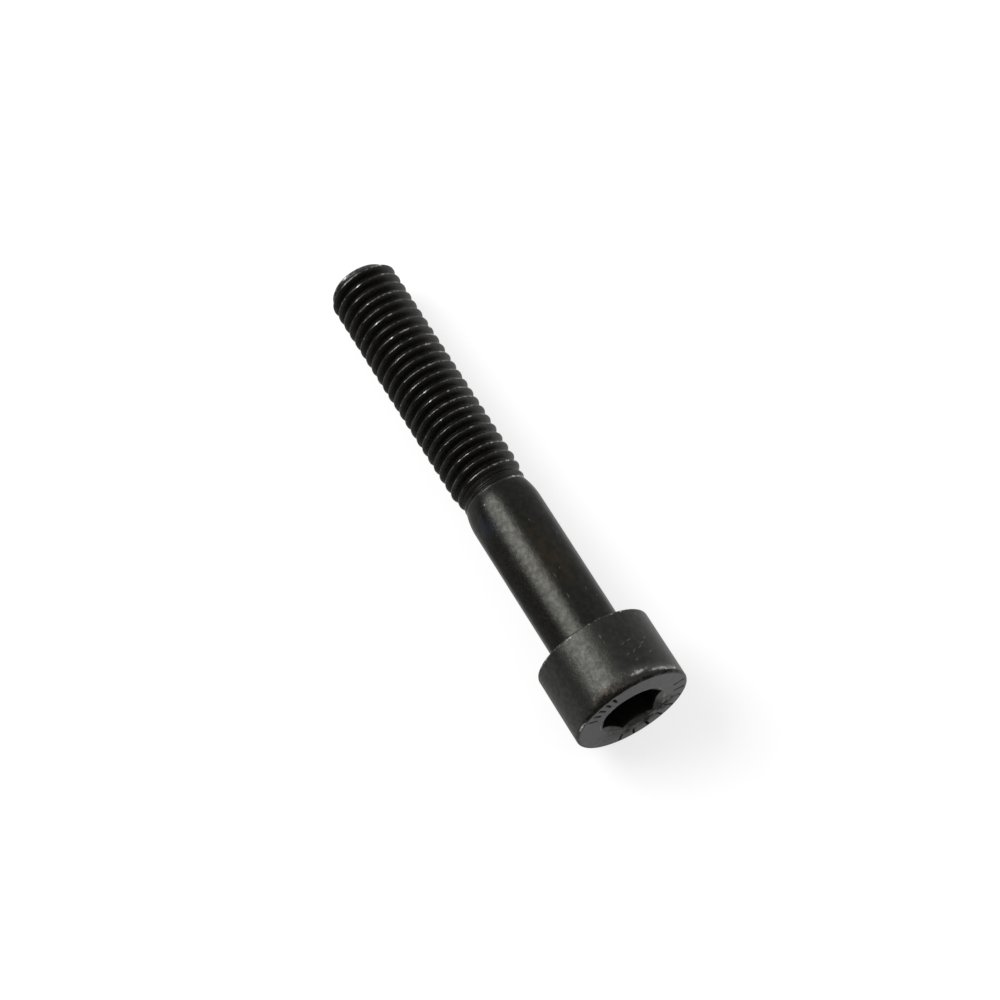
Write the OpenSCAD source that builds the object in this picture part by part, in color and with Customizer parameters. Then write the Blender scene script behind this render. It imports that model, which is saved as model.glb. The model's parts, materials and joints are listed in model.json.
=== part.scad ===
// Hex socket cap screw M8 x 50, partly threaded, forged and thread-rolled in one piece.
// It lies as it comes to rest on a floor: on the rim under its head and on the crest next to its point.
// Millimetres, +Z up. Origin: on the floor, under the middle of the screw. The head is at +X.
// Each module below draws the screw along its own axis: the bearing face under the head is z = 0,
// the head is above it and the point is below. lay_down() then puts the screw on the floor.

/* [Thread] */
// nominal diameter of the thread
thread_d = 8; // [7:0.1:10]
// pitch of the thread, one start, right hand
thread_pitch = 1.25; // [1:0.05:1.5]
// length of the full thread, from the point
thread_len = 28; // [22:0.5:32]
// length over which the thread fades out towards the shank
runout_len = 2.4; // [1.5:0.1:3.5]
// play between the crests and the nominal diameter, on the diameter
crest_play = 0.08; // [0.02:0.01:0.15]
// how far the flat end of the point stays inside the root of the thread, on the radius
point_inset = 0.1; // [0.05:0.05:0.6]
// angle of the chamfer at the point, from the axis
point_chamfer = 45; // [35:1:50]
// angle round the axis at which the crest runs out at the point
thread_start = 208; // [0:1:359]

/* [Shank] */
// length of the screw under its head
screw_len = 50; // [46:0.5:60]
// play between the plain shank and the nominal diameter, on the diameter
shank_play = 0.06; // [0.02:0.01:0.2]
// length of the rounded shoulder between the run-out and the plain shank
shoulder_len = 2.3; // [1.5:0.1:3.5]
// radius of the fillet between the shank and the head
neck_fillet = 0.4; // [0.3:0.05:0.6]

/* [Head] */
// diameter of the head
head_d = 12.8; // [12:0.1:15]
// height of the head
head_h = 8; // [7.2:0.1:10]
// rounding of the edge round the top of the head
top_round = 0.6; // [0.3:0.05:1]
// rounding of the rim under the head
rim_round = 0.2; // [0.1:0.05:0.3]

/* [Socket] */
// width of the hexagon across its flats
socket_af = 6.05; // [5:0.05:7]
// depth of the hexagon from the top of the head
socket_depth = 4.4; // [3.5:0.1:4.8]
// width of the ring that the countersink adds outside the hexagon's corners, on the radius
mouth_margin = 0.15; // [0.05:0.05:0.4]
// included angle of the countersink
mouth_angle = 120; // [90:1:130]
// depth of the cone below the hexagon
floor_cone_depth = 1; // [0.5:0.1:1.4]
// diameter of the small flat at the bottom of that cone
floor_flat_d = 1.6; // [0.5:0.1:2.5]
// angle of the hexagon round the axis
socket_turn = 43; // [0:1:59]

/* [Facets] */
// flat sides in one turn of the thread
thread_sides = 36; // [24:2:40]

/* [Hidden] */
$fn = 96;

steel_black = [0.16, 0.16, 0.15];

// thread: ISO 60 degree profile
crest_r = (thread_d - crest_play) / 2;
flank_angle = 30;
tooth_h = 17 / 24 * thread_pitch * cos(flank_angle);
root_r = crest_r - tooth_h;
blank_r = thread_d / 2 - 3 / 8 * thread_pitch * cos(flank_angle);
point_r = root_r - point_inset;
crest_w = thread_pitch / 8;
flank_w = tooth_h * tan(flank_angle);

// places along the axis
tip_z = -screw_len;
fade_z = tip_z + thread_len;
blank_z = fade_z + runout_len;
shoulder_z = blank_z + shoulder_len;

// shank and shoulder: the collar is the shoulder's low end, just wider than the thread's blank
shank_r = (thread_d - shank_play) / 2;
collar_lip = 0.03;
collar_r = blank_r + collar_lip;
collar_bury = 0.25;
shoulder_step = shank_r - collar_r;
shoulder_r = (shoulder_len * shoulder_len + shoulder_step * shoulder_step) / (2 * shoulder_step);

// head and socket
head_r = head_d / 2;
hex_corner_r = socket_af / 2 / cos(30);
mouth_r = hex_corner_r + mouth_margin;
cut_over = 1;

// ---- thread: rows that follow the helix, four to a turn, joined column by column ----

// rows 0 and 1 of each turn are the edges of the crest, rows 2 and 3 the edges of the root
row_offset = [-crest_w / 2, crest_w / 2, crest_w / 2 + flank_w, thread_pitch - crest_w / 2 - flank_w];
turn_rows = len(row_offset);
first_crest_z = tip_z + thread_pitch * (1 - thread_start / 360);
row_clear = 0.08;
row_span = turn_rows * (ceil((blank_z - tip_z) / thread_pitch) + 1);

function turn_of(k) = floor(k / turn_rows);
function place_in_turn(k) = k - turn_rows * turn_of(k);
function row_z(i, k) =
    first_crest_z + thread_pitch * (i / thread_sides + turn_of(k)) + row_offset[place_in_turn(k)];

// share of the tooth that is lost at height z of the run-out: 0 on the full thread, 1 on the blank
function faded(z) = min(1, max(0, (z - fade_z) / runout_len));
function chamfer_r(z) = point_r + (z - tip_z) * tan(point_chamfer);
function row_r(k, z) =
    let (full = place_in_turn(k) < 2 ? crest_r : root_r)
    min(chamfer_r(z), full + (blank_r - full) * faded(z));

// the rows that lie between the point and the blank in each column
column_rows = [for (i = [0 : thread_sides - 1])
    [for (k = [-2 * turn_rows : row_span])
        if (row_z(i, k) > tip_z + row_clear && row_z(i, k) < blank_z - row_clear) k]];
column_base = [for (i = 0, b = 0; i < thread_sides; b = b + len(column_rows[i]) + 2, i = i + 1) b];

function ring_point(i, r, z) = [r * cos(360 * i / thread_sides), r * sin(360 * i / thread_sides), z];
thread_points = [for (i = [0 : thread_sides - 1]) each concat(
    [ring_point(i, point_r, tip_z)],
    [for (k = column_rows[i]) ring_point(i, row_r(k, row_z(i, k)), row_z(i, k))],
    [ring_point(i, blank_r, blank_z + collar_bury)])];

// indices of column i: foot, row k and top; column thread_sides is column 0 one turn further on
function wrapped(i) = i % thread_sides;
function row_shift(i) = i < thread_sides ? 0 : turn_rows;
function low_row(i) = column_rows[wrapped(i)][0] - row_shift(i);
function high_row(i) = low_row(i) + len(column_rows[wrapped(i)]) - 1;
function foot_at(i) = column_base[wrapped(i)];
function row_at(i, k) = foot_at(i) + 1 + k - low_row(i);
function top_at(i) = row_at(i, high_row(i) + 1);

// the strip of triangles between columns i and i + 1
function strip(i) =
    let (j = i + 1, low = low_row(i), high = high_row(j))
    concat(
        [[foot_at(i), row_at(i, low), row_at(j, low)]],
        low_row(j) < low ? [[foot_at(i), row_at(j, low), row_at(j, low - 1)]] : [],
        [[foot_at(i), row_at(j, low_row(j)), foot_at(j)]],
        [for (k = [low : high - 1]) each [
            [row_at(i, k), row_at(i, k + 1), row_at(j, k + 1)],
            [row_at(i, k), row_at(j, k + 1), row_at(j, k)]]],
        high_row(i) > high ? [[row_at(i, high), row_at(i, high + 1), row_at(j, high)]] : [],
        [[row_at(i, high_row(i)), top_at(i), row_at(j, high)],
         [top_at(i), top_at(j), row_at(j, high)]]);

thread_faces = concat(
    [for (i = [0 : thread_sides - 1]) each strip(i)],
    [[for (i = [0 : thread_sides - 1]) foot_at(i)]],
    [[for (i = [thread_sides - 1 : -1 : 0]) top_at(i)]]);

// the rolled thread with its chamfered point and its run-out, one closed body
module thread() {
    polyhedron(points = thread_points, faces = thread_faces);
}

// ---- head, neck, shank and shoulder: one turned profile ----

// the head's half section: both edges are true arcs
module head_profile() {
    union() {
        translate([0, rim_round]) square([head_r, head_h - top_round - rim_round]);
        square([head_r - rim_round, head_h - top_round]);
        square([head_r - top_round, head_h]);
        translate([head_r - top_round, head_h - top_round]) circle(r = top_round);
        translate([head_r - rim_round, rim_round]) circle(r = rim_round);
    }
}

// the fillet in the corner between the shank and the bearing face
module neck_profile() {
    difference() {
        translate([0, -neck_fillet]) square([shank_r + neck_fillet, neck_fillet + rim_round]);
        translate([shank_r + neck_fillet, -neck_fillet]) circle(r = neck_fillet);
    }
}

// the plain shank, and the shoulder that curves down from it to the thread's blank
module shank_profile() {
    union() {
        translate([0, shoulder_z]) square([shank_r, rim_round - shoulder_z]);
        intersection() {
            translate([0, blank_z]) square([shank_r, shoulder_len]);
            translate([shank_r - shoulder_r, shoulder_z]) circle(r = shoulder_r);
        }
    }
}

module head_and_shank() {
    rotate_extrude() union() {
        head_profile();
        neck_profile();
        shank_profile();
    }
}

// ---- socket: countersunk mouth, hexagon and shallow conical floor ----

module socket() {
    mouth_slope = 1 / tan(mouth_angle / 2);
    mouth_depth = (mouth_r - floor_flat_d / 2) * mouth_slope;
    translate([0, 0, head_h - mouth_depth])
        cylinder(h = mouth_depth + cut_over, r1 = floor_flat_d / 2, r2 = mouth_r + cut_over / mouth_slope);
    translate([0, 0, head_h - socket_depth]) rotate([0, 0, socket_turn])
        cylinder(h = socket_depth + cut_over, r = hex_corner_r, $fn = 6);
    translate([0, 0, head_h - socket_depth - floor_cone_depth])
        cylinder(h = floor_cone_depth, r1 = floor_flat_d / 2, r2 = socket_af / 2);
}

// ---- rest: the screw tips over until the rim and the first full crest touch the floor ----

full_crest_z = min([for (k = column_rows[0])
    if (place_in_turn(k) < 2 && chamfer_r(row_z(0, k)) >= crest_r) row_z(0, k)]);
reach = rim_round - full_crest_z;
drop = head_r - rim_round - crest_r;
lie_angle = atan(drop / reach) + asin(rim_round / norm([reach, drop]));
axis_height = (head_r - rim_round) * cos(lie_angle) + rim_round - rim_round * sin(lie_angle);
head_end_x = (head_h - top_round) * cos(lie_angle) + (head_r - top_round) * sin(lie_angle) + top_round;
point_end_x = tip_z * cos(lie_angle) - point_r * sin(lie_angle);

module lay_down() {
    translate([-(head_end_x + point_end_x) / 2, 0, axis_height])
        rotate([0, 90 - lie_angle, 0]) children();
}

module cap_screw() {
    color(steel_black) lay_down() difference() {
        union() {
            head_and_shank();
            thread();
        }
        socket();
    }
}

cap_screw();
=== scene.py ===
"""Looks of the hex socket cap screw: one finely meshed piece of blackened steel on a pale floor.

The piece is built in the screw's own frame, in millimetres: the bearing face under the head is
z = 0, the head is above it and the point is below. It is then laid over the CAD part, whose mounts
say where that frame is.
"""
import functools
import json
import math

import bpy
from mathutils import Matrix, Vector, noise


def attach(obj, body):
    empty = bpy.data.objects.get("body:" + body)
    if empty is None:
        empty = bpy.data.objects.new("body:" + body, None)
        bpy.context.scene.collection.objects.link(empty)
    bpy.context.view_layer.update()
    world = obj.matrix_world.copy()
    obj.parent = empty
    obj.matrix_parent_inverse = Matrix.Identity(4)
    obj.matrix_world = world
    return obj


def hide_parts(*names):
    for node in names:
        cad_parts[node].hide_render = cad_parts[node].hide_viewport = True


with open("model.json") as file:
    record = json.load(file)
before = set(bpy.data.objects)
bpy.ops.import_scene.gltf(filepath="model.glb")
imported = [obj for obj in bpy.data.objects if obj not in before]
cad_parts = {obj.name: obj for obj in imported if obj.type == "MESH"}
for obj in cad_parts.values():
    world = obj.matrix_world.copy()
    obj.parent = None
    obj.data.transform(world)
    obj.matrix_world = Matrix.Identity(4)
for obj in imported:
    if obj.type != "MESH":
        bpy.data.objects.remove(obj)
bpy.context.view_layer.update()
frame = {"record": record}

MM = 0.001

# ---- sizes of the screw, in millimetres ----
# They are the CAD part's, but for four that are set finer here, nearer to the photo: where the crest
# runs out at the point, the rounding of the head's top, the hexagon's width and its mouth's margin.
THREAD_D, PITCH, THREAD_LEN, RUNOUT_LEN = 8.0, 1.25, 28.0, 2.4
CREST_PLAY, SHANK_PLAY, POINT_INSET = 0.08, 0.06, 0.1
THREAD_START = 238.0
SCREW_LEN, SHOULDER_LEN, NECK_FILLET, COLLAR_LIP = 50.0, 2.3, 0.4, 0.03
HEAD_D, HEAD_H, TOP_ROUND, RIM_ROUND = 12.8, 8.0, 0.3, 0.2
SOCKET_AF, SOCKET_DEPTH, MOUTH_MARGIN = 6.1, 4.4, 0.2
FLOOR_CONE_DEPTH, FLOOR_FLAT_D, SOCKET_TURN = 1.0, 1.6, 43.0

FLANK = math.radians(30)
CREST_R = (THREAD_D - CREST_PLAY) / 2
TOOTH_H = 17 / 24 * PITCH * math.cos(FLANK)
ROOT_R = CREST_R - TOOTH_H
BLANK_R = THREAD_D / 2 - 3 / 8 * PITCH * math.cos(FLANK)
POINT_R = ROOT_R - POINT_INSET
CREST_W = PITCH / 8
FLANK_W = TOOTH_H * math.tan(FLANK)
TIP_Z = -SCREW_LEN
FADE_Z = TIP_Z + THREAD_LEN
BLANK_Z = FADE_Z + RUNOUT_LEN
SHOULDER_Z = BLANK_Z + SHOULDER_LEN
FIRST_CREST_Z = TIP_Z + PITCH * (1 - THREAD_START / 360)
SHANK_R = (THREAD_D - SHANK_PLAY) / 2
COLLAR_R = BLANK_R + COLLAR_LIP
SHOULDER_STEP = SHANK_R - COLLAR_R
SHOULDER_R = (SHOULDER_LEN**2 + SHOULDER_STEP**2) / (2 * SHOULDER_STEP)
HEAD_R = HEAD_D / 2
APOTHEM = SOCKET_AF / 2
MOUTH_R = APOTHEM / math.cos(math.radians(30)) + MOUTH_MARGIN
MOUTH_SLOPE = math.tan(math.radians(30))
WALL_FOOT_Z = HEAD_H - SOCKET_DEPTH

# ---- fineness of the mesh ----
SHANK_SIDES = 128
HEAD_SIDES = 360
SHOULDER_STEPS, SHANK_STEPS, FILLET_STEPS = 10, 26, 6
RIM_STEPS, HEAD_STEPS, TOP_STEPS = 6, 20, 7
FACE_STEPS, WALL_STEPS, FLOOR_STEPS = 26, 9, 5
# rows of one turn of the thread, as distances from the middle of the crest
ROW_OFFSETS = [-0.117, -0.08, -0.04, 0.0, 0.04, 0.08, 0.117, 0.29,
               0.469, 0.52, 0.57, 0.625, 0.68, 0.73, 0.781, 0.96]
TURN_ROWS = len(ROW_OFFSETS)
# no row comes nearer than this to the thread's two ends
ROW_CLEAR = 0.02
# crest and root are rounded by the arcs that touch both flanks
CREST_ROUND = CREST_W / 2 / math.tan(FLANK)
ROOT_ROUND = (PITCH / 2 - CREST_W / 2 - FLANK_W) / math.tan(FLANK)
# how much the bottom of the run-out narrows per millimetre away from the shoulder
RUNOUT_SLOPE = 0.12


# ---- helpers ----

def smooth(low, high, x):
    """0 below low, 1 above high, and a smooth step between them."""
    t = min(1.0, max(0.0, (x - low) / (high - low)))
    return t * t * (3 - 2 * t)


def window(rise, fall, x):
    """0 before the rise, 1 between it and the fall, 0 after the fall; both are (start, end)."""
    return smooth(*rise, x) * (1 - smooth(*fall, x))


def angle_gap(a, b):
    """The signed angle from b to a, in degrees, between -180 and 180."""
    return (a - b + 180) % 360 - 180


def polar(angle, r, z):
    return Vector((r * math.cos(angle), r * math.sin(angle), z))


def patchy(p, scale, seed):
    """Soft noise about 0, between about -1 and 1, whose patches are about 1 / scale mm across."""
    return noise.noise(p * scale + Vector((seed, 7.3 * seed, -3.1 * seed)))


def layered(p, base, *layers):
    """base plus patchy noise in layers of (amount, scale, seed)."""
    return sum((amount * patchy(p, scale, seed) for amount, scale, seed in layers), base)


def fading(degrees, at, half, start):
    """1 round the angle at and 0 beyond its half width; it fades from the share start of that on."""
    return 1 - smooth(start, 1.0, abs(angle_gap(degrees, at)) / half)


def strongest(places, degrees):
    """The strength at an angle of some places (angle, half width, strength) that fade out."""
    return max(strength * fading(degrees, at, half, PLACE_FADE) for at, half, strength in places)


# places of wear or grime fade from this share of their half width on
PLACE_FADE = 0.45
# the finish of a point that has none of its own
PLAIN = (0.0, 0.0, 0.0)


class Skin:
    """The mesh while it is made: points in the screw's own frame, and the finish of each of them.

    A finish is how worn bright, how black and how grey from the press the surface is, each 0 to 1.
    The black is sooty grime and dirt in places, and painted shade in others.
    """

    def __init__(self):
        self.points, self.finishes, self.faces = [], [], []

    def point(self, p, finish=PLAIN):
        self.points.append(p)
        self.finishes.append(tuple(min(1.0, max(0.0, f)) for f in finish))
        return len(self.points) - 1

    def ring(self, sides, place, finish=None):
        """A closed row of points; place and finish are functions of the angle in radians."""
        made = []
        for i in range(sides):
            angle = 2 * math.pi * i / sides
            p = place(angle)
            made.append(self.point(p, finish(angle, p) if finish else PLAIN))
        return made

    def band(self, low, high):
        """Quads between two rings of as many points, low nearer to the foot of the outside."""
        n = len(low)
        for i in range(n):
            j = (i + 1) % n
            self.faces.append((low[i], low[j], high[j], high[i]))

    def zipper(self, low, high):
        """Triangles between two rings of different counts."""
        i, j, n, m = 0, 0, len(low), len(high)
        while i < n or j < m:
            if j >= m or (i < n and (i + 0.5) / n <= (j + 0.5) / m):
                self.faces.append((low[i % n], low[(i + 1) % n], high[j % m]))
                i += 1
            else:
                self.faces.append((low[i % n], high[(j + 1) % m], high[j % m]))
                j += 1

    def cap(self, ring, centre, up):
        n = len(ring)
        for i in range(n):
            j = (i + 1) % n
            self.faces.append((ring[i], ring[j], centre) if up else (ring[j], ring[i], centre))


# ---- thread ----

# nicks on the crests: angle in degrees, place along the axis, half length along the crest, depth
CREST_NICKS = [
    (161.8, -39.7, 1.3, 0.05), (201.1, -48.2, 0.7, 0.06), (211.8, -44.5, 0.6, 0.05),
    (197.7, -42.2, 0.6, 0.05), (152.5, -29.4, 0.9, 0.12), (189.1, -45.8, 0.5, 0.05),
    (164.0, -34.8, 0.6, 0.07), (149.9, -37.5, 0.7, 0.07), (211.9, -37.4, 0.6, 0.04),
    (218.9, -49.1, 0.8, 0.05), (160.9, -45.7, 0.4, 0.04), (199.4, -32.5, 0.5, 0.04),
]
# from this depth on, in millimetres, a nick adds its full share to the wear of its crest
BRIGHT_NICK = 0.04
# painted light and painted shade on the thread: where its flanks are painted lighter and its crests
# brighter toward +Y, and where its crests are painted duller toward -Y: middle and half width in
# degrees, and from which share of that on this fades
THREAD_PAINTED_LIGHT, CRESTS_PAINTED_SHADE = (112, 62, 0.3), (262, 60, 0.3)
# where the shoulder's foot is rubbed bright: angle in degrees, half width, strength; and between
# which heights above that foot this comes in
COLLAR_WORN, COLLAR_IN = [(134, 36, 1.0)], (-0.3, -0.12)
# unevenness of the crests, and of the whole tooth towards its crest, in millimetres
CREST_UNEVEN, TOOTH_UNEVEN = 0.012, 0.014
# the finish of the point's end goes out between these heights above it
END_OUT = (0.34, 0.6)
# the finish of its chamfer goes out over this much on both sides of the chamfer's edge, on the radius
CHAMFER_BLEND = 0.06


def tooth_r(offset):
    """Radius of the full thread at a distance from the middle of the crest."""
    away = abs((offset + PITCH / 2) % PITCH - PITCH / 2)
    from_root = PITCH / 2 - away
    if away <= CREST_ROUND * math.cos(FLANK):
        return CREST_R - CREST_ROUND + math.sqrt(CREST_ROUND**2 - away**2)
    if from_root <= ROOT_ROUND * math.cos(FLANK):
        return ROOT_R + ROOT_ROUND - math.sqrt(ROOT_ROUND**2 - from_root**2)
    return ROOT_R + TOOTH_H * (CREST_W / 2 + FLANK_W - away) / FLANK_W


ROW_RADII = [tooth_r(offset) for offset in ROW_OFFSETS]


def row_z(column, k):
    turn, place = divmod(k, TURN_ROWS)
    return FIRST_CREST_Z + PITCH * (column / SHANK_SIDES + turn) + ROW_OFFSETS[place]


def nick_depth(p):
    """How far the nicks lower a crest at p."""
    depth = 0.0
    angle = math.degrees(math.atan2(p.y, p.x))
    for nick_angle, nick_z, half, deep in CREST_NICKS:
        along = math.radians(angle_gap(angle, nick_angle)) * CREST_R
        if abs(along) < half and abs(p.z - nick_z) < PITCH / 2:
            depth = max(depth, deep * (1 - (along / half) ** 2))
    return depth


def collar_worn(angle, p):
    return strongest(COLLAR_WORN, math.degrees(angle)) * layered(p, 0.75, (0.5, 1.6, 9))


def thread_finish(angle, p, share, faded, cut):
    """Finish of the thread at p.

    share is 0 in the root and 1 on the crest, faded goes from 0 to 1 along the run-out, and cut is 1
    where the point's chamfer has cut the tooth.
    """
    degrees = math.degrees(angle)
    # painted light: toward +Y the flanks get less black and more grey, and the crests more wear
    painted_light_side = fading(degrees, *THREAD_PAINTED_LIGHT)
    # painted shade: toward -Y the crests get less wear
    painted_shade_side = 1 - 0.45 * fading(degrees, *CRESTS_PAINTED_SHADE)
    crest = smooth(0.9, 1.0, share) * (1 - smooth(0.15, 0.75, faded))
    rubbed = layered(p, 0.38, (0.5, 0.5, 11)) + 0.65 * smooth(0.15, 0.5, patchy(p, 1.9, 13))
    rubbed += 0.3 * min(1.0, nick_depth(p) / BRIGHT_NICK)
    end = 1 - smooth(*END_OUT, p.z - TIP_Z)
    worn = max(crest * (0.75 + 0.25 * painted_light_side) * painted_shade_side * rubbed,
               cut * layered(p, 0.5, (0.5, 2.2, 15)),
               end * layered(p, 0.3, (0.3, 2.2, 15)),
               collar_worn(angle, p) * smooth(*COLLAR_IN, p.z - BLANK_Z))
    # black soot in the roots and on the flanks, which also stands as painted shade between the teeth
    black = (1 - smooth(0.8, 0.96, share)) * (1 - smooth(0.3, 0.95, faded))
    black *= (1 - max(0.9 * cut, end)) * (1 - 0.75 * painted_light_side)
    grey = max(0.6 * cut, end, crest * (layered(p, 0.1, (0.4, 1.3, 7)) + 0.5 * painted_light_side), 0.3 * painted_light_side)
    return worn, black, grey


def thread_point(skin, angle, k, z):
    """One point of the thread, in row k of the column at that angle."""
    full = ROW_RADII[k % TURN_ROWS]
    share = (full - ROOT_R) / TOOTH_H
    faded = min(1.0, max(0.0, (z - FADE_Z) / RUNOUT_LEN))
    blank = COLLAR_R - RUNOUT_SLOPE * (BLANK_Z - z)
    r = full + (blank - full) * faded
    chamfer = POINT_R + (z - TIP_Z)
    cut = smooth(-CHAMFER_BLEND, CHAMFER_BLEND, r - chamfer)
    r = min(r, chamfer)
    p = polar(angle, r, z)
    lowered = smooth(0.7, 1.0, share) * (nick_depth(p) + CREST_UNEVEN * (1 + patchy(p, 0.9, 3)))
    lowered += TOOTH_UNEVEN * (1 + patchy(p, 3.1, 5)) * share
    return skin.point(polar(angle, r - lowered, z), thread_finish(angle, p, share, faded, cut))


def point_finish(a, p):
    return layered(p, 0.55, (0.5, 1.5, 19)), 0.0, 0.9


def thread(skin):
    """The thread from the point's edge to the shoulder's foot; returns both end rings."""
    columns = []
    top_row = TURN_ROWS * (math.ceil((BLANK_Z - TIP_Z) / PITCH) + 1)
    foot = skin.ring(SHANK_SIDES, lambda a: polar(a, POINT_R, TIP_Z), point_finish)
    for i in range(SHANK_SIDES):
        angle = 2 * math.pi * i / SHANK_SIDES
        rows = {}
        for k in range(-2 * TURN_ROWS, top_row):
            z = row_z(i, k)
            if TIP_Z + ROW_CLEAR < z < BLANK_Z - ROW_CLEAR:
                rows[k] = thread_point(skin, angle, k, z)
        columns.append(rows)
    top = skin.ring(SHANK_SIDES, lambda a: polar(a, COLLAR_R, BLANK_Z),
                    lambda a, p: (collar_worn(a, p), 0.0, 0.3))
    # the last column is joined to the first one, whose rows are there one turn further on
    columns.append({k - TURN_ROWS: v for k, v in columns[0].items()})
    for i in range(SHANK_SIDES):
        stitch(skin, columns[i], columns[i + 1], (foot[i], foot[(i + 1) % SHANK_SIDES]),
               (top[i], top[(i + 1) % SHANK_SIDES]))
    return foot, top


def stitch(skin, here, there, feet, tops):
    """The faces between two columns of thread rows, down to their feet and up to their tops."""
    low, high = max(min(here), min(there)), min(max(here), max(there))
    for k in range(low, high):
        skin.faces.append((here[k], there[k], there[k + 1], here[k + 1]))
    fan_down = [feet[0]] + [here[k] for k in range(min(here), low + 1)]
    fan_down_there = [feet[1]] + [there[k] for k in range(min(there), low + 1)]
    strip(skin, fan_down, fan_down_there)
    fan_up = [here[k] for k in range(high, max(here) + 1)] + [tops[0]]
    fan_up_there = [there[k] for k in range(high, max(there) + 1)] + [tops[1]]
    strip(skin, fan_up, fan_up_there)


def strip(skin, left, right):
    """Triangles between two short runs of points that both go up."""
    i = j = 0
    while i < len(left) - 1 or j < len(right) - 1:
        step_left = i < len(left) - 1 and (
            j == len(right) - 1 or skin.points[left[i + 1]].z <= skin.points[right[j + 1]].z)
        if step_left:
            skin.faces.append((left[i], right[j], left[i + 1]))
            i += 1
        else:
            skin.faces.append((left[i], right[j], right[j + 1]))
            j += 1


# ---- point, shoulder, shank and neck ----

# radii of the rings on the flat end of the point, from its edge inwards
END_RINGS = [POINT_R - 0.06, 2.4, 1.5, 0.7]


def point_end(skin, foot):
    """The flat end of the point."""
    outer = foot
    for r in END_RINGS:
        inner = skin.ring(SHANK_SIDES, lambda a, r=r: polar(a, r, TIP_Z))
        skin.band(inner, outer)
        outer = inner
    skin.cap(outer, skin.point(Vector((0, 0, TIP_Z))), up=False)


def turned(skin, sides, outline, start, finish, uneven):
    """Bands round the axis through an outline of (r, z) pairs, from the ring start on."""
    last = start
    for r, z in outline:
        def place(a, r=r, z=z):
            p = polar(a, r, z)
            return polar(a, r - uneven * (1 + patchy(p, 0.35, 17)) / 2, z)
        ring = skin.ring(sides, place, finish)
        skin.band(last, ring)
        last = ring
    return last


def arc(r, z, radius, start, stop, steps):
    """Points of an arc round (r, z) in the half section, angles in degrees."""
    turns = [math.radians(start + (stop - start) * i / steps) for i in range(steps + 1)]
    return [(r + radius * math.cos(t), z + radius * math.sin(t)) for t in turns]


# painted shade: the shank is painted near black on its side toward -Y, where it would reflect dark
# surroundings: angle in degrees, half width, strength
SHANK_PAINTED_SHADE = [(241, 29, 0.95)]
# this painted shade comes in between these heights, going up
SHANK_SHADE_IN = (SHOULDER_Z - 0.2, SHOULDER_Z + 4.3)
# where the shoulder is rubbed near its top: the same three values, the height of its middle, and
# between which distances from that height it fades
SHOULDER_RUBBED = [(206, 16, 0.25)]
RUBBED_Z, RUBBED_OUT = SHOULDER_Z - 0.95, (0.1, 0.5)
# unevenness of the shank, in millimetres
SHANK_UNEVEN = 0.016


def shank_finish(a, p):
    degrees = math.degrees(a)
    # painted shade on the shank's side toward -Y, carried as black in its finish
    black = strongest(SHANK_PAINTED_SHADE, degrees) * smooth(*SHANK_SHADE_IN, p.z) * layered(p, 1, (0.4, 0.6, 21))
    rubbed = strongest(SHOULDER_RUBBED, degrees) * (1 - smooth(*RUBBED_OUT, abs(p.z - RUBBED_Z)))
    return rubbed, black, 0.0


def shank(skin, collar):
    """The shoulder, the plain shank and the fillet under the head."""
    outline = []
    for i in range(1, SHOULDER_STEPS + 1):
        z = BLANK_Z + SHOULDER_LEN * i / SHOULDER_STEPS
        outline.append((SHANK_R - SHOULDER_R + math.sqrt(SHOULDER_R**2 - (z - SHOULDER_Z) ** 2), z))
    top = -NECK_FILLET
    outline += [(SHANK_R, SHOULDER_Z + (top - SHOULDER_Z) * i / SHANK_STEPS)
                for i in range(1, SHANK_STEPS + 1)]
    outline += arc(SHANK_R + NECK_FILLET, top, NECK_FILLET, 180, 90, FILLET_STEPS)[1:]
    return turned(skin, SHANK_SIDES, outline, collar, shank_finish, SHANK_UNEVEN)


# ---- head ----

# worn bright patches under the top edge: angle in degrees, half width, strength
TOP_PATCHES = [(152, 42, 1.0)]
# their middle is at PATCH_Z, and from PATCH_BEND_AT on it drops by PATCH_DROP per degree, for
# PATCH_BEND degrees
PATCH_Z, PATCH_BEND_AT, PATCH_DROP, PATCH_BEND = HEAD_H - 0.53, 140, 0.0175, 45
# they fade between these distances from their middle; a grey haze comes in and goes out again
# between these heights above it
PATCH_OUT, HAZE_IN, HAZE_OUT = (0.04, 0.32), (-0.9, -0.1), (0.05, 0.3)
# where grime lies under the top edge: the same three values
DIRTY_SIDE = [(212, 34, 0.95)]
# where the rounding between the side and the face is black, partly grime and partly a painted dark
# reflection: the same three values
ROUND_GRIME_AND_PAINTED_SHADE = [(190, 75, 1.0)]
# small bright spots right on the top edge: the same three values
EDGE_SPOTS = [(246, 13, 0.85), (95, 5, 0.8)]
# heights on the head's side between which each of these comes in, and goes out again
SPOT_IN, SPOT_OUT = (HEAD_H - 0.28, HEAD_H - 0.16), (HEAD_H - 0.06, HEAD_H - 0.01)
CREASE_IN, CREASE_OUT = (HEAD_H - 0.45, HEAD_H - 0.28), (HEAD_H - 0.04, HEAD_H)
DIRT_IN = (HEAD_H - 1.5, HEAD_H - 0.4)
# the same for the pressed grey of the face, and for the worn rim under the head
PRESSED_IN, WORN_RIM_OUT = (HEAD_H - 0.07, HEAD_H), (0.17, 0.36)
# unevenness of the head's side and of its face, in millimetres
HEAD_UNEVEN, FACE_UNEVEN = 0.02, 0.006
# the bearing face has as few sides as the shank up to this far inside its rim
RIM_MARGIN = 0.3
# the head's side has more rings at these distances from its lower and from its upper edge
LOW_GAPS, HIGH_GAPS = (0.06, 0.12, 0.2), (0.22, 0.11, 0.0)


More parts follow.
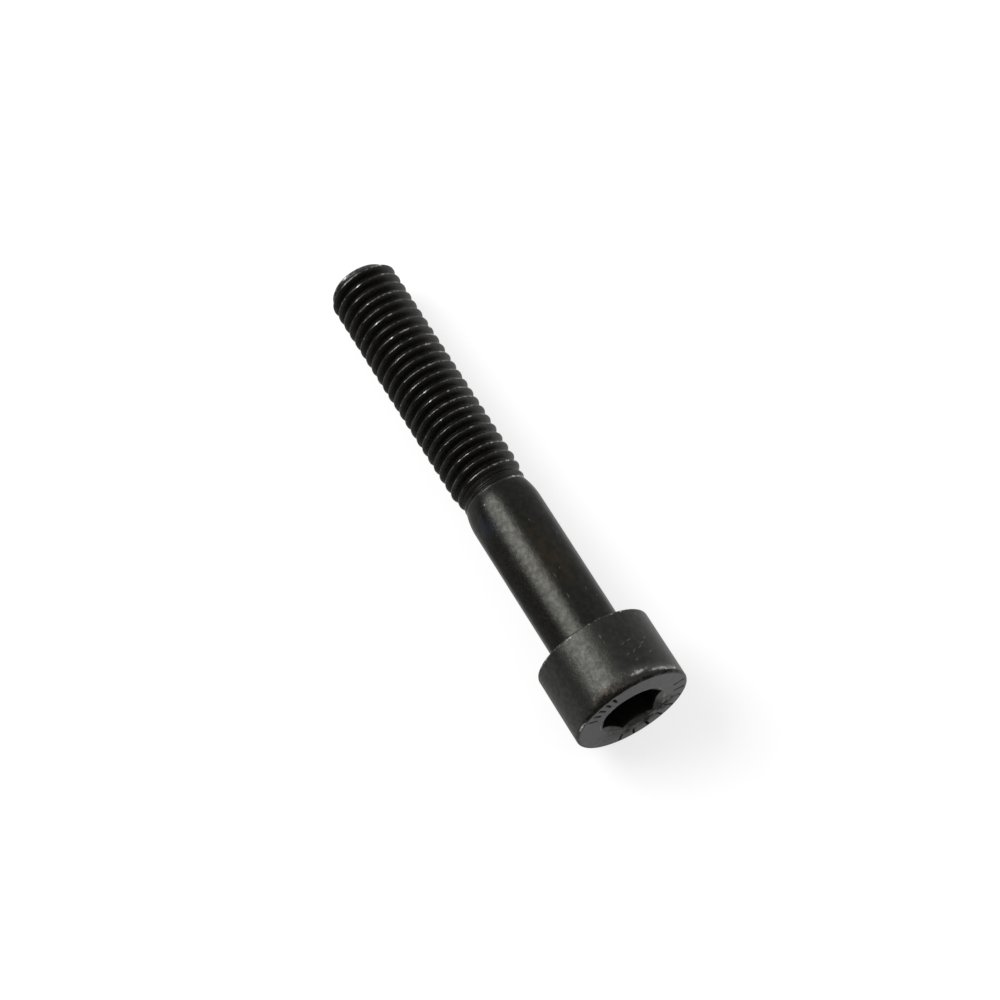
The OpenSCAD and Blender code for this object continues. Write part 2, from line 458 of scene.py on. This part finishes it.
def rim_finish(a, p):
    return layered(p, 0.25, (0.8, 0.8, 23)), layered(p, 0.5, (0.9, 1.4, 24)), 0.0


def patch_finish(degrees, p):
    """How bright the side is worn under its top edge, and the soft grey haze below that."""
    bend = min(PATCH_BEND, max(0.0, angle_gap(degrees, PATCH_BEND_AT)))
    off = p.z - (PATCH_Z - PATCH_DROP * bend)
    band = (1 - smooth(*PATCH_OUT, abs(off))) * layered(p, 0.88, (0.3, 0.9, 29), (0.4, 2.6, 30))
    haze = window(HAZE_IN, HAZE_OUT, off) * layered(p, 0.8, (0.6, 1.2, 28))
    strength = strongest(TOP_PATCHES, degrees)
    return strength * band, strength * haze


def head_finish(a, p):
    """Finish of the head's side: both edges are worn, and the rounding round the face is black, partly
    grime and partly a painted dark reflection.
    """
    degrees = math.degrees(a)
    rim = (1 - smooth(*WORN_RIM_OUT, p.z)) * layered(p, 0.44, (0.5, 0.8, 23), (0.6, 2.3, 25))
    patch, haze = patch_finish(degrees, p)
    spot = strongest(EDGE_SPOTS, degrees) * window(SPOT_IN, SPOT_OUT, p.z)
    spot *= layered(p, 0.9, (0.8, 3.1, 27))
    # partly grime, partly a painted dark reflection along the top rounding
    round_grime_and_shade = window(CREASE_IN, CREASE_OUT, p.z) * layered(p, 0.95, (1.3, 1.1, 33), (0.7, 2.9, 34))
    round_grime_and_shade *= 0.15 + 0.85 * strongest(ROUND_GRIME_AND_PAINTED_SHADE, degrees)
    dirt = smooth(*DIRT_IN, p.z) * strongest(DIRTY_SIDE, degrees) * layered(p, 0.6, (1.4, 1.7, 35))
    grey = max(haze, 0.6 * smooth(*PRESSED_IN, p.z))
    return max(rim, patch, spot), max(round_grime_and_shade, dirt) * (1 - spot), grey


def head(skin, neck):
    """The head's outside, from the neck over the bearing face, the side and the top to the mouth."""
    rim_r = HEAD_R - RIM_ROUND
    rim = skin.ring(HEAD_SIDES, lambda a: polar(a, rim_r, 0), rim_finish)
    bearing = skin.ring(SHANK_SIDES, lambda a: polar(a, rim_r - RIM_MARGIN, 0))
    skin.band(neck, bearing)
    skin.zipper(bearing, rim)
    low, high = RIM_ROUND, HEAD_H - TOP_ROUND
    side = arc(rim_r, RIM_ROUND, RIM_ROUND, -90, 0, RIM_STEPS)[1:]
    side += [(HEAD_R, low + gap) for gap in LOW_GAPS]
    side += [(HEAD_R, low + (high - low) * i / HEAD_STEPS) for i in range(1, HEAD_STEPS)]
    side += [(HEAD_R, high - gap) for gap in HIGH_GAPS]
    side += arc(HEAD_R - TOP_ROUND, high, TOP_ROUND, 0, 90, TOP_STEPS)[1:]
    edge = turned(skin, HEAD_SIDES, side, rim, head_finish, HEAD_UNEVEN)
    return face(skin, edge)


# ---- face ----

# plain punched dashes on the face, all radial: angle in degrees, r of the middle, half length
FACE_DASHES = [(204.0 + 9.5 * i, 5.2, 0.42) for i in range(5)]
FACE_DASHES += [(-14.0 + 16.5 * i, 5.4, 0.5) for i in range(8)]
# half the width of a dash, the share of it that is flat at the bottom, and the depth
DASH_HALF_W, DASH_FLAT, DASH_DEPTH = 0.18, 0.35, 0.22
# a dash is all black where it is deeper than the second of these, and not at all above the first
DASH_BLACK = (0.04, 0.12)
# grime on the face and in the mouth: angle in degrees, half width, strength; on the face it goes
# out between these distances from the mouth
MOUTH_GRIME, GRIME_OUT = [(28, 58, 1.0), (330, 30, 0.35)], (0.5, 2.0)
# the face ends this far outside the mouth, whose edge is broken
MOUTH_LAND = 0.07


def dash_depth(p):
    """How far the dashes lower the face at p."""
    deepest = 0.0
    for angle, r, half in FACE_DASHES:
        a = math.radians(angle)
        along = abs(p.x * math.cos(a) + p.y * math.sin(a) - r)
        across = abs(-p.x * math.sin(a) + p.y * math.cos(a))
        away = math.hypot(max(0.0, along - half), across)
        slope = smooth(DASH_FLAT * DASH_HALF_W, DASH_HALF_W, away)
        deepest = max(deepest, DASH_DEPTH * (1 - slope))
    return deepest


def face_finish(a, p):
    dash = smooth(*DASH_BLACK, dash_depth(p))
    from_mouth = math.hypot(p.x, p.y) - MOUTH_R
    grime = strongest(MOUTH_GRIME, math.degrees(a)) * (1 - smooth(*GRIME_OUT, from_mouth))
    grime *= layered(p, 0.85, (0.9, 1.3, 41), (0.8, 3.3, 45))
    return 0.0, max(dash, 0.95 * grime), 1.0 - dash


def face(skin, edge):
    """The flat top with its dashes, to the rounded edge of the mouth."""
    last = edge
    outer, inner = HEAD_R - TOP_ROUND, MOUTH_R + MOUTH_LAND
    for i in range(1, FACE_STEPS + 1):
        r = outer + (inner - outer) * i / FACE_STEPS

        def place(a, r=r):
            p = polar(a, r, HEAD_H)
            return p - Vector((0, 0, dash_depth(p) + FACE_UNEVEN * (1 + patchy(p, 0.8, 31))))

        ring = skin.ring(HEAD_SIDES, place, face_finish)
        skin.band(last, ring)
        last = ring
    return last


# ---- socket ----

# the mouth's broken edge: how far out and how far down its outer ring is, and how far in its inner one
LIP_OUT, LIP_DOWN, LIP_IN = 0.02, 0.012, 0.04
# painted shade: the hexagon's walls are painted faintly black deep down; heights between which this goes
# out, going up
WALL_PAINTED_SHADE_OUT = (5.5, 7.6)


def cone_z(r):
    """Height of the mouth's countersink at r."""
    return HEAD_H - (MOUTH_R - r) * MOUTH_SLOPE


def hex_r(a):
    """Distance from the axis to the hexagon at an angle."""
    turn = (math.degrees(a) - SOCKET_TURN) % 60 - 30
    return APOTHEM / math.cos(math.radians(turn))


def mouth_finish(a, p):
    grime = strongest(MOUTH_GRIME, math.degrees(a))
    return layered(p, 0.5, (0.5, 1.1, 37)) * (1 - grime), 0.7 * grime, 0.9


def cone_finish(a, p):
    return 0.0, strongest(MOUTH_GRIME, math.degrees(a)) * layered(p, 0.65, (0.5, 1.9, 43)), 0.7


def wall_finish(a, p):
    # painted shade deep in the socket
    return 0.0, 0.25 * (1 - smooth(*WALL_PAINTED_SHADE_OUT, p.z)), 0.0


# rings that break the edge between the countersink and the walls: how far outside the hexagon, how
# far above the line where both meet, and the finish
WALL_EDGE = [(0.04, 0.04 * MOUTH_SLOPE - 0.005, cone_finish), (0.008, -0.02, wall_finish),
             (0.0, -0.07, wall_finish)]


def socket_rings(skin):
    """The rings of the socket, from the edge of its mouth to the small flat at the bottom."""
    def ring_at(r_of, z_of, finish=wall_finish):
        return skin.ring(HEAD_SIDES, lambda a: polar(a, r_of(a), z_of(a)), finish)

    lip_r = MOUTH_R - LIP_IN
    yield ring_at(lambda a: MOUTH_R + LIP_OUT, lambda a: HEAD_H - LIP_DOWN, mouth_finish)
    yield ring_at(lambda a: lip_r, lambda a: cone_z(lip_r), mouth_finish)
    for share in (0.35, 0.7):
        def r_of(a, share=share):
            return lip_r + share * (hex_r(a) - lip_r)
        yield ring_at(r_of, lambda a, r_of=r_of: cone_z(r_of(a)), cone_finish)
    for out, up, finish in WALL_EDGE:
        yield ring_at(lambda a, out=out: hex_r(a) + out, lambda a, up=up: cone_z(hex_r(a)) + up, finish)
    wall_top = WALL_EDGE[-1][1]
    for i in range(1, WALL_STEPS + 1):
        yield ring_at(hex_r, lambda a, s=i / WALL_STEPS: (
            (cone_z(hex_r(a)) + wall_top) * (1 - s) + WALL_FOOT_Z * s))
    flat_r = FLOOR_FLAT_D / 2
    for i in range(FLOOR_STEPS + 1):
        s = i / FLOOR_STEPS
        yield ring_at(lambda a, r=APOTHEM + (flat_r - APOTHEM) * s: r,
                      lambda a, z=WALL_FOOT_Z - FLOOR_CONE_DEPTH * s: z)


def socket(skin, mouth):
    """The countersink, the hexagon's walls and the shallow cone at the bottom."""
    last = mouth
    for ring in socket_rings(skin):
        skin.band(last, ring)
        last = ring
    skin.cap(last, skin.point(Vector((0, 0, WALL_FOOT_Z - FLOOR_CONE_DEPTH))), up=True)


# ---- the piece ----

def mount(name):
    return next(m for m in frame["record"]["mounts"] if m["name"] == name)


def screw_frame():
    """The matrix from the screw's own frame, in millimetres, to the row frame, in metres."""
    top = mount("hex_socket")
    axis = Vector(top["axis"]).normalized()
    y = Vector((0, 1, 0))
    x = y.cross(axis).normalized()
    turn = Matrix((x, y, axis)).transposed().to_4x4()
    origin = Vector(top["pos_m"]) - HEAD_H * MM * axis
    return Matrix.Translation(origin) @ turn @ Matrix.Scale(MM, 4)


# edges sharper than this many degrees stay sharp in the shading
SHARP_FROM = 38


def screw_surface():
    """The one piece of the scene, with its finish and its place in the screw's own frame per point."""
    skin = Skin()
    foot, collar = thread(skin)
    point_end(skin, foot)
    neck = shank(skin, collar)
    mouth = head(skin, neck)
    socket(skin, mouth)
    place = screw_frame()
    mesh = bpy.data.meshes.new("screw_surface")
    mesh.from_pydata([place @ p for p in skin.points], [], skin.faces)
    finish = mesh.attributes.new("finish", "FLOAT_VECTOR", "POINT")
    finish.data.foreach_set("vector", [c for f in skin.finishes for c in f])
    own = mesh.attributes.new("own_mm", "FLOAT_VECTOR", "POINT")
    own.data.foreach_set("vector", [c for p in skin.points for c in p])
    mesh.validate()
    mesh.polygons.foreach_set("use_smooth", [True] * len(mesh.polygons))
    mesh.set_sharp_from_angle(angle=math.radians(SHARP_FROM))
    piece = bpy.data.objects.new("screw_surface", mesh)
    bpy.context.scene.collection.objects.link(piece)
    mesh.materials.append(blackened_steel())
    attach(piece, "root")
    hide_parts("cap_screw")


# ---- materials ----

class Nodes:
    """Short names for the node calls of one material."""

    def __init__(self, tree):
        self.tree = tree

    def new(self, kind, **values):
        """A node of that kind; each value is set as its property, or else as its input's value."""
        node = self.tree.nodes.new(kind)
        for key, value in values.items():
            if hasattr(node, key):
                setattr(node, key, value)
            else:
                node.inputs[key].default_value = value
        return node

    def link(self, out, to):
        self.tree.links.new(out, to)

    def noise(self, vector, scale, detail=3.0, roughness=0.55):
        node = self.new("ShaderNodeTexNoise", Scale=scale, Detail=detail, Roughness=roughness)
        self.link(vector, node.inputs["Vector"])
        return node.outputs["Fac"]

    def stretch(self, vector, scale):
        node = self.new("ShaderNodeMapping", Scale=scale)
        self.link(vector, node.inputs["Vector"])
        return node.outputs["Vector"]

    def ramp(self, value, low, high, to_low=0.0, to_high=1.0):
        """to_low below low, to_high above high, and a smooth step between them."""
        node = self.new("ShaderNodeMapRange", interpolation_type="SMOOTHSTEP")
        for name, number in zip(("From Min", "From Max", "To Min", "To Max"), (low, high, to_low, to_high)):
            node.inputs[name].default_value = number
        self.link(value, node.inputs["Value"])
        return node.outputs["Result"]

    def math(self, operation, a, b):
        node = self.new("ShaderNodeMath", operation=operation)
        for socket_in, value in zip(node.inputs, (a, b)):
            if isinstance(value, (int, float)):
                socket_in.default_value = value
            else:
                self.link(value, socket_in)
        return node.outputs["Value"]

    def total(self, *values):
        return functools.reduce(lambda a, b: self.math("ADD", a, b), values)

    def product(self, *values):
        return functools.reduce(lambda a, b: self.math("MULTIPLY", a, b), values)

    def part(self, vector, letter):
        node = self.new("ShaderNodeSeparateXYZ")
        self.link(vector, node.inputs[0])
        return node.outputs[letter]

    def shift(self, vector, by):
        node = self.new("ShaderNodeMapping", Location=(by, -by, 2 * by))
        self.link(vector, node.inputs["Vector"])
        return node.outputs["Vector"]

    def near(self, vector, middle, reach):
        """1 at the middle and 0 outside an ellipsoid of those half sizes."""
        node = self.new("ShaderNodeMapping", vector_type="POINT")
        node.inputs["Scale"].default_value = [1 / r for r in reach]
        node.inputs["Location"].default_value = [-m / r for m, r in zip(middle, reach)]
        self.link(vector, node.inputs["Vector"])
        length = self.new("ShaderNodeVectorMath", operation="LENGTH")
        self.link(node.outputs["Vector"], length.inputs[0])
        return self.ramp(length.outputs["Value"], 0.2, 1.0, 1.0, 0.0)

    def mix(self, fac, a, b):
        """Colour a where fac is 0 and b where it is 1; both are colours or sockets."""
        node = self.new("ShaderNodeMix", data_type="RGBA")
        self.link(fac, node.inputs["Factor"])
        # the colour sockets of a Mix node: 6 and 7 are its inputs, 2 is its output
        for socket_in, value in ((node.inputs[6], a), (node.inputs[7], b)):
            if isinstance(value, tuple):
                socket_in.default_value = (*value, 1.0)
            else:
                self.link(value, socket_in)
        return node.outputs[2]


# ---- the steel ----

# colours of the oxide on the shank and on the head, darker tone first, the same for the pressed
# grey of the face and for the soot, which also colours the painted shade, and the colour of bare steel
SHANK_BLACK = (0.020, 0.0205, 0.0183), (0.0285, 0.028, 0.0253)
HEAD_BLACK = (0.031, 0.0313, 0.0288), (0.042, 0.0415, 0.038)
PRESSED = (0.072, 0.072, 0.073), (0.100, 0.098, 0.097)
SOOT_AND_SHADE_TONES = (0.006, 0.0058, 0.0053), (0.022, 0.021, 0.019)
BARE_STEEL = (0.54, 0.53, 0.50)
# painted light: all but the soot are painted lighter toward +Y, where the sides catch more light: between
# which y, in millimetres, and the lighter colour
SHANK_PAINTED_LIGHT = (2.8, 3.7), (0.068, 0.068, 0.068)
HEAD_PAINTED_LIGHT = (2.0, 6.4), (0.066, 0.0655, 0.063)
HEAD_EDGE_PAINTED_LIGHT = (4.5, 6.2), (0.125, 0.125, 0.124)
PRESSED_PAINTED_LIGHT = (-2.0, 6.0), (0.118, 0.115, 0.114)
# a brown stain on the shank: its middle in the screw's own frame and its half sizes, in
# millimetres, its strength and its colour
STAIN_AT, STAIN_REACH = (-3.9, 0.5, -9.6), (1.8, 1.9, 6.0)
STAIN_LEVEL, STAIN_BROWN = 0.7, (0.044, 0.034, 0.021)
# brown dirt under the head's top edge, the same way
DIRT_AT, DIRT_REACH = (-5.5, -3.0, 7.3), (3.0, 3.6, 1.1)
DIRT_LEVEL, DIRT_BROWN = 0.8, (0.025, 0.0205, 0.0145)
# a faint blue cast at the foot of the shank, the same way
BLUE_AT, BLUE_REACH = (-2.4, -3.1, -16.0), (1.5, 1.6, 2.2)
BLUE_LEVEL, BLUISH = 0.6, (0.024, 0.029, 0.040)
# how much of its shine at a grazing angle the surface keeps
EDGE_TINT = 0.68
# the mean of the sum of the two noises that break up what is worn, and the weights of both
SPECK_MEAN, SPECK_COARSE, SPECK_FINE = 1.9, 2.2, 1.6
# fine lines left by the rolling dies: how many to a pitch, and their height in the bump's unit
ROLL_LINES, ROLL_LINE_HEIGHT = 3, 3.2
# heights between which these lines come in, and go out again
LINES_IN, LINES_OUT = (FADE_Z + 0.7, FADE_Z + 1.4), (BLANK_Z - 0.35, BLANK_Z + 0.1)
# the shank's oxide goes over into the head's between these heights
NECK_BLEND = (-0.3, 0.1)
BUMP_UNIT = 0.02 * MM
# scratches: both ends of each as (angle, z), on the head's side and on the shank
HEAD_SCRATCHES = [
    ((182.0, 1.5), (182.4, 2.2)), ((169.9, 3.65), (165.5, 3.5)), ((164.5, 3.5), (157.0, 3.3)),
    ((165.4, 5.0), (158.9, 4.4)), ((157.3, 4.65), (151.1, 4.3)), ((145.8, 3.75), (140.7, 3.5)),
    ((167.5, 5.75), (161.5, 5.6)), ((171.5, 4.9), (166.5, 4.7)), ((153.2, 4.2), (145.6, 4.0)),
    ((135.9, 0.4), (134.0, 0.95)), ((181.6, 2.35), (182.2, 2.8)), ((150.0, 5.4), (143.5, 5.1)),
    ((128.0, 2.5), (124.0, 3.4)),
]
SHANK_SCRATCHES = [
    ((151.3, -4.4), (149.5, -4.9)), ((168.8, -13.8), (170.0, -14.3)), ((137.4, -11.6), (135.5, -12.1)),
    ((182.6, -4.2), (181.6, -5.0)), ((182.0, -6.9), (183.0, -7.6)), ((171.5, -7.5), (169.0, -8.0)),
    ((139.0, -3.4), (138.0, -3.9)),
]
# half the width of each
SCRATCH_HALF_W = 0.07


class Steel(Nodes):
    """The nodes of the blackened steel, on noises that its colour, its shine and its bump share."""

    def __init__(self, tree):
        super().__init__(tree)
        self.own = self.new("ShaderNodeAttribute", attribute_name="own_mm").outputs["Vector"]
        finish = self.new("ShaderNodeAttribute", attribute_name="finish").outputs["Vector"]
        self.worn, self.soot, self.faced = (self.part(finish, letter) for letter in "XYZ")
        self.medium = self.noise(self.stretch(self.own, (1.0, 1.0, 0.5)), 1.3, 4, 0.6)
        self.clumps = self.noise(self.own, 3.6, 3, 0.6)
        self.grain = self.noise(self.own, 9.0, 4, 0.65)
        self.mottle = self.noise(self.shift(self.own, 5.0), 1.7, 4, 0.6)
        self.on_head = self.ramp(self.part(self.own, "Z"), *NECK_BLEND)
        self.scratches = self.all_scratches()

    def scratch(self, ends, r):
        """1 along a short straight scratch between two places (angle, z) on the cylinder of radius r."""
        a, b = (polar(math.radians(angle), r, z) for angle, z in ends)
        middle, along = (a + b) / 2, (b - a).normalized()
        outward = Vector((middle.x, middle.y, 0)).normalized()
        across = outward.cross(along).normalized()
        turn = Matrix((along, across, along.cross(across))).transposed().to_euler()
        node = self.new("ShaderNodeMapping", vector_type="TEXTURE")
        sizes = ((b - a).length / 2, SCRATCH_HALF_W, r / 4)
        for name, value in (("Location", middle), ("Rotation", turn), ("Scale", sizes)):
            node.inputs[name].default_value = value
        self.link(self.own, node.inputs["Vector"])
        length = self.new("ShaderNodeVectorMath", operation="LENGTH")
        self.link(node.outputs["Vector"], length.inputs[0])
        return self.ramp(length.outputs["Value"], 0.3, 1.0, 1.0, 0.0)

    def all_scratches(self):
        deepest = 0.0
        for places, r in ((HEAD_SCRATCHES, HEAD_R), (SHANK_SCRATCHES, SHANK_R)):
            for ends in places:
                deepest = self.math("MAXIMUM", self.scratch(ends, r), deepest)
        return deepest

    def rolled_lines(self):
        """Height of the fine lines the rolling dies left between the thread and the shoulder.

        They follow the thread's helix, three to a pitch, so that they meet where the angle starts again.
        """
        z = self.part(self.own, "Z")
        angle = self.math("ARCTAN2", self.part(self.own, "Y"), self.part(self.own, "X"))
        along = self.math("SUBTRACT", z, self.product(angle, PITCH / (2 * math.pi)))
        waves = self.math("SINE", self.product(along, 2 * math.pi * ROLL_LINES / PITCH), 0.0)
        rise, fall = self.ramp(z, *LINES_IN), self.ramp(z, *LINES_OUT, 1.0, 0.0)
        return self.product(waves, self.product(rise, fall), ROLL_LINE_HEIGHT)

    def mottled(self, tones):
        return self.mix(self.ramp(self.mottle, 0.36, 0.66), *tones)

    def painted_light_toward_y(self, colour, pale):
        """The colour, painted lighter toward +Y as painted light; pale is where that starts and ends, and
        its colour.
        """
        (start, end), pale_colour = pale
        return self.mix(self.ramp(self.part(self.own, "Y"), start, end), colour, pale_colour)

    def oxide(self):
        """Colour of the oxide, painted lighter toward +Y, with its stains, the pressed places, and the
        sooty black that is also painted shade on top of it.
        """
        # painted light: head, shank and pressed grey are painted lighter toward +Y
        head = self.painted_light_toward_y(self.painted_light_toward_y(self.mottled(HEAD_BLACK), HEAD_PAINTED_LIGHT), HEAD_EDGE_PAINTED_LIGHT)
        shank = self.painted_light_toward_y(self.mottled(SHANK_BLACK), SHANK_PAINTED_LIGHT)
        colour = self.mix(self.on_head, shank, head)
        blue = self.product(self.near(self.own, BLUE_AT, BLUE_REACH), BLUE_LEVEL)
        colour = self.mix(blue, colour, BLUISH)
        stain = self.product(self.near(self.own, STAIN_AT, STAIN_REACH), self.ramp(self.medium, 0.38, 0.58))
        colour = self.mix(self.product(stain, STAIN_LEVEL), colour, STAIN_BROWN)
        dirt = self.product(self.near(self.own, DIRT_AT, DIRT_REACH), self.ramp(self.clumps, 0.42, 0.56))
        colour = self.mix(self.product(dirt, DIRT_LEVEL), colour, DIRT_BROWN)
        pressed = self.painted_light_toward_y(self.mix(self.ramp(self.clumps, 0.35, 0.65), *PRESSED), PRESSED_PAINTED_LIGHT)
        colour = self.mix(self.faced, colour, pressed)
        # where the finish is black, the colour goes to the soot tones: grime, and painted shade
        return self.mix(self.soot, colour, self.mix(self.ramp(self.grain, 0.36, 0.64), *SOOT_AND_SHADE_TONES))

    def bare(self):
        """How much bare steel shows: in the scratches, and in the specks that worn places break into."""
        marks = self.product(self.scratches, self.ramp(self.grain, 0.36, 0.56, 0.06, 0.19))
        specks = self.total(self.product(self.noise(self.own, 2.5, 5, 0.62), SPECK_COARSE),
                            self.product(self.grain, SPECK_FINE))
        level = self.ramp(self.total(self.worn, specks), SPECK_MEAN + 0.28, SPECK_MEAN + 1.45)
        return self.math("MAXIMUM", marks, self.product(level, self.ramp(self.worn, 0.02, 0.2)))

    def roughness(self):
        return self.total(self.ramp(self.mottle, 0.34, 0.66, 0.35, 0.30),
                          self.ramp(self.clumps, 0.3, 0.7, -0.025, 0.035),
                          self.product(self.on_head, 0.08), self.product(self.soot, 0.26))

    def height(self):
        """Height for the bump, in BUMP_UNIT: fine grain, a crust on the sooty black that is also painted
        shade, and the marks.
        """
        crust = self.total(self.product(self.clumps, 3.0), self.product(self.grain, 2.5))
        return self.total(self.product(self.grain, 0.25), self.product(self.clumps, 0.6),
                          self.product(self.mottle, 0.9), self.product(self.soot, crust),
                          self.product(self.scratches, -0.15), self.rolled_lines())


def blackened_steel():
    """Black oxide over forged steel: olive-black, browner in places, bare grey where it is worn, painted
    lighter toward +Y and painted darker as shade in places.
    """
    material = bpy.data.materials.new("blackened_steel")
    material.use_nodes = True
    n = Steel(material.node_tree)
    shader = material.node_tree.nodes["Principled BSDF"]
    n.link(n.mix(n.bare(), n.oxide(), BARE_STEEL), shader.inputs["Base Color"])
    n.link(n.roughness(), shader.inputs["Roughness"])
    shader.inputs["Metallic"].default_value = 1.0
    shader.inputs["Specular Tint"].default_value = (EDGE_TINT, EDGE_TINT, EDGE_TINT, 1.0)
    bump = n.new("ShaderNodeBump", Strength=1.0, Distance=BUMP_UNIT)
    n.link(n.height(), bump.inputs["Height"])
    n.link(bump.outputs["Normal"], shader.inputs["Normal"])
    return material


# ---- stage, light and camera ----

# the floor's own white, how much more of it the camera and reflections see, and half its width
FLOOR_WHITE, FLOOR_GLOW, FLOOR_HALF = 0.28, 0.74, 3.0
# the studio is brighter on the +Y side
WORLD_LEVEL, WORLD_SLOPE = 0.45, 0.46
# the one lamp: the direction it shines from, its distance and side in metres, and its power
SOFT_BOX_FROM = Vector((-0.446, -0.498, 0.741))
SOFT_BOX_AWAY, SOFT_BOX_SIDE, SOFT_BOX_WATTS = 0.45, 0.28, 2.2
# the camera: where it looks from in degrees, its lens in millimetres and its distance in metres
CAMERA_AZIMUTH, CAMERA_ELEVATION = 60.592, 64.904
CAMERA_LENS, CAMERA_SENSOR, CAMERA_AWAY = 100.0, 36.0, 0.288954
# what it looks at: a place on the screw's axis in millimetres, then this far right and up in metres
LOOK_AT_Z = -21.0
CAMERA_RIGHT, CAMERA_UP = 0.00097, -0.00121


def floor_material():
    """Pale floor: part of its white is its own, so that the object's shadow stays light on it."""
    material = bpy.data.materials.new("floor_white")
    material.use_nodes = True
    material.node_tree.nodes.clear()
    n = Nodes(material.node_tree)
    out = n.new("ShaderNodeOutputMaterial")
    diffuse = n.new("ShaderNodeBsdfDiffuse", Color=(FLOOR_WHITE, FLOOR_WHITE, FLOOR_WHITE, 1.0))
    glow = n.new("ShaderNodeEmission", Color=(1, 1, 1, 1))
    path = n.new("ShaderNodeLightPath")
    seen = n.math("MAXIMUM", path.outputs["Is Camera Ray"], path.outputs["Is Glossy Ray"])
    seen = n.math("MAXIMUM", seen, path.outputs["Is Transmission Ray"])
    n.link(n.math("MULTIPLY", seen, FLOOR_GLOW), glow.inputs["Strength"])
    both = n.new("ShaderNodeAddShader")
    n.link(diffuse.outputs[0], both.inputs[0])
    n.link(glow.outputs[0], both.inputs[1])
    n.link(both.outputs[0], out.inputs["Surface"])
    return material


def floor_plane():
    half = FLOOR_HALF
    mesh = bpy.data.meshes.new("studio_floor")
    corners = [(-half, -half, 0), (half, -half, 0), (half, half, 0), (-half, half, 0)]
    mesh.from_pydata(corners, [], [(0, 1, 2, 3)])
    mesh.materials.append(floor_material())
    plane = bpy.data.objects.new("studio_floor", mesh)
    bpy.context.scene.collection.objects.link(plane)


def soft_box(name, toward, away, side, watts):
    """A square lamp that faces the object from the direction toward."""
    lamp = bpy.data.lights.new(name, "AREA")
    lamp.shape, lamp.size, lamp.energy = "SQUARE", side, watts
    holder = bpy.data.objects.new(name, lamp)
    holder.location = toward.normalized() * away
    holder.rotation_euler = toward.to_track_quat("Z", "Y").to_euler()
    bpy.context.scene.collection.objects.link(holder)


def surroundings():
    """A white sky, brighter toward +Y."""
    world = bpy.data.worlds.new("studio")
    bpy.context.scene.world = world
    world.use_nodes = True
    n = Nodes(world.node_tree)
    back = world.node_tree.nodes["Background"]
    back.inputs["Color"].default_value = (1, 1, 1, 1)
    where = n.part(n.new("ShaderNodeTexCoord").outputs["Generated"], "Y")
    n.link(n.math("ADD", n.math("MULTIPLY", where, WORLD_SLOPE), WORLD_LEVEL), back.inputs["Strength"])


def camera():
    """The photo's viewing angle: the axis has the direction that it has there."""
    az, el = math.radians(CAMERA_AZIMUTH), math.radians(CAMERA_ELEVATION)
    back = Vector((math.sin(az) * math.cos(el), -math.cos(az) * math.cos(el), math.sin(el)))
    right = Vector((math.cos(az), math.sin(az), 0))
    up = back.cross(right)
    target = screw_frame() @ Vector((0, 0, LOOK_AT_Z))
    data = bpy.data.cameras.new("photo_view")
    data.lens, data.sensor_width = CAMERA_LENS, CAMERA_SENSOR
    data.clip_start, data.clip_end = 0.01, 20.0
    holder = bpy.data.objects.new("photo_view", data)
    turn = Matrix((right, up, back)).transposed()
    holder.matrix_world = Matrix.Translation(
        target + back * CAMERA_AWAY + right * CAMERA_RIGHT + up * CAMERA_UP) @ turn.to_4x4()
    bpy.context.scene.collection.objects.link(holder)
    bpy.context.scene.camera = holder


bpy.context.scene.view_settings.view_transform = "Standard"
screw_surface()
floor_plane()
surroundings()
soft_box("key_box", SOFT_BOX_FROM, SOFT_BOX_AWAY, SOFT_BOX_SIDE, SOFT_BOX_WATTS)
camera()
